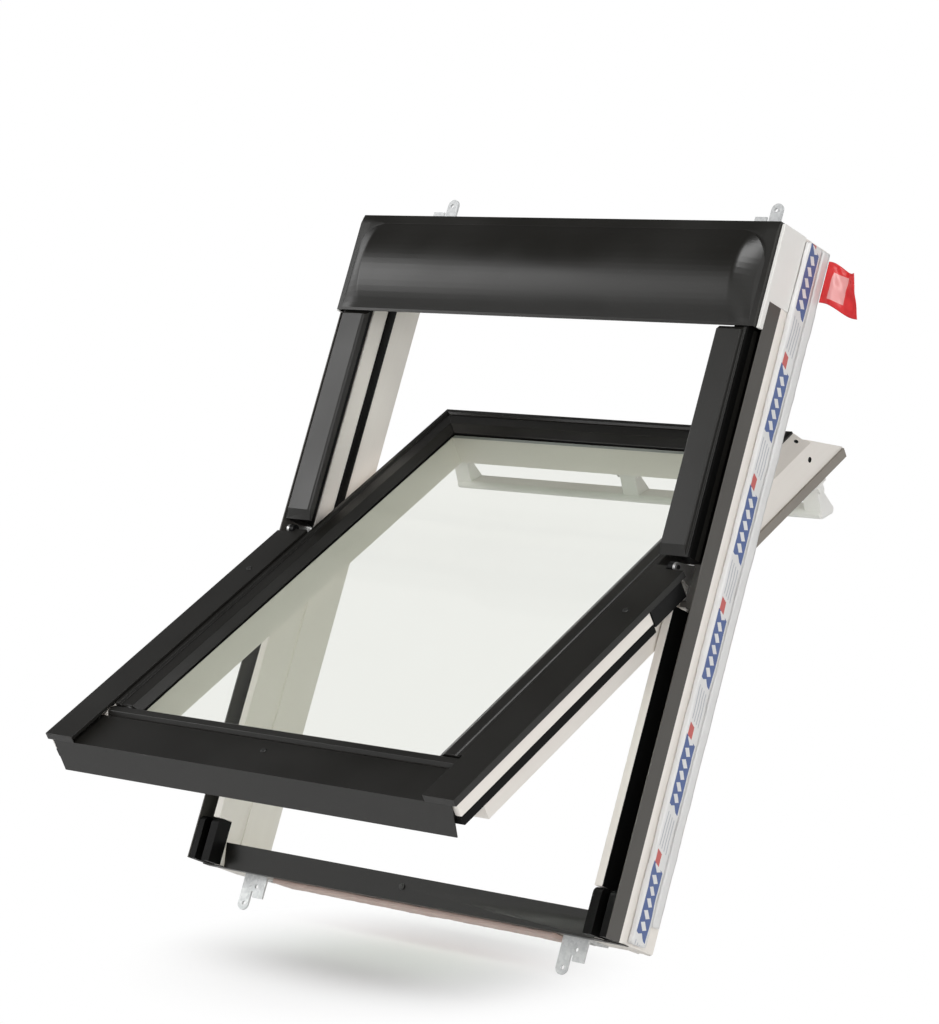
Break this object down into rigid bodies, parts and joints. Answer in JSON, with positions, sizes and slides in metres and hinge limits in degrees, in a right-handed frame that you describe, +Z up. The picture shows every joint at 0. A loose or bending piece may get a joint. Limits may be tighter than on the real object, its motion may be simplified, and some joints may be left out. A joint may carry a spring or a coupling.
{
  "type": "roof window",
  "caption": "Centre-pivot timber roof window, sash tilted open, with dark metal cladding, double glazing, hood, insulating collar, fixing brackets and a pull bar that drives the latch.",
  "frame": {"origin": "middle of the frame's outline, on the plane of the brackets' undersides, where the window sits on the roof", "axes": "+X across the window to the right seen from outside, -Y out of the building, +Z up; the roof plane pitches at 67 degrees about X"},
  "size_m": [0.864, 0.8559, 1.0008],
  "materials": {
    "timber": "white lacquered pine, satin",
    "cladding": "anthracite coated aluminium sheet, satin",
    "gutter_grey": "grey coated aluminium, satin",
    "rubber_black": "black rubber, dull",
    "plastic_black": "black plastic, matt",
    "plastic_white": "warm white plastic, satin",
    "strip_grey": "taupe plastic strip, matt",
    "film": null,
    "tag_red": "red film, satin",
    "galvanised": "galvanised steel, fine grain",
    "steel": "bright zinc-plated steel",
    "screw_dark": "dark plated screws",
    "spacer": "grey aluminium spacer",
    "glass": "clear float glass with a faint green tint"
  },
  "bodies": {
    "frame": {"jamb_left": "timber", "jamb_right": "timber", "frame_head": "timber", "frame_sill": "timber", "hood": "cladding", "hood_end_left": "plastic_white", "hood_end_right": "plastic_white", "upper_cover_left": "cladding", "upper_cover_right": "cladding", "cover_carrier_left": "plastic_black", "cover_carrier_right": "plastic_black", "gutter_left": "gutter_grey", "gutter_right": "gutter_grey", "sill_cladding": "cladding", "corner_block_left": "rubber_black", "corner_block_right": "rubber_black", "frame_seal_left": "rubber_black", "frame_seal_right": "rubber_black", "frame_seal_head": "rubber_black", "collar_left": "film", "collar_right": "film", "collar_head": "film", "collar_sill": "film", "pull_tag": "tag_red", "bracket_top_left": "galvanised", "bracket_top_right": "galvanised", "bracket_bottom_left": "galvanised", "bracket_bottom_right": "galvanised", "bracket_screws": "steel", "frame_screws": "screw_dark", "hinge_ear_left": "steel", "hinge_ear_right": "steel", "striker_plate": "steel"},
    "sash": {"stile_left": "timber", "stile_right": "timber", "top_rail": "timber", "bottom_rail": "timber", "edge_strip_left": "strip_grey", "edge_strip_right": "strip_grey", "wing_left": "timber", "wing_right": "timber", "outer_pane": "glass", "inner_pane": "glass", "spacer_bar": "spacer", "glazing_seal": "rubber_black", "glazing_clad_left": "cladding", "glazing_clad_right": "cladding", "glazing_clad_top": "cladding", "bottom_bead": "cladding", "lower_cover_left": "cladding", "lower_cover_right": "cladding", "bottom_cover": "cladding", "sash_seal": "rubber_black", "sash_screws": "screw_dark", "hinge_arm_left": "screw_dark", "hinge_arm_right": "screw_dark", "handle_bearings": "plastic_white", "lock_case": "steel"},
    "handle": {"handle_bar": "plastic_white"},
    "latch": {"latch_bolt": "steel"}
  },
  "joints": [
    {"name": "sash_pivot", "type": "hinge", "parent": "frame", "child": "sash", "pos_m": [0, -0.05899, 0.02993], "axis": [-1, 0, 0], "range_deg": [-39, 121]},
    {"name": "handle_turn", "type": "hinge", "parent": "sash", "child": "handle", "pos_m": [0, 0.27886, 0.10424], "axis": [1, 0, 0], "range_deg": [0, 35]},
    {"name": "bolt_slide", "type": "slide", "parent": "sash", "child": "latch", "axis": [0, 0.8829, 0.4695], "range_m": [0, 0.012]}
  ],
  "couplings": [
    {"joint": "bolt_slide", "follows": "handle_turn", "m_per_rad": 0.0196}
  ]
}
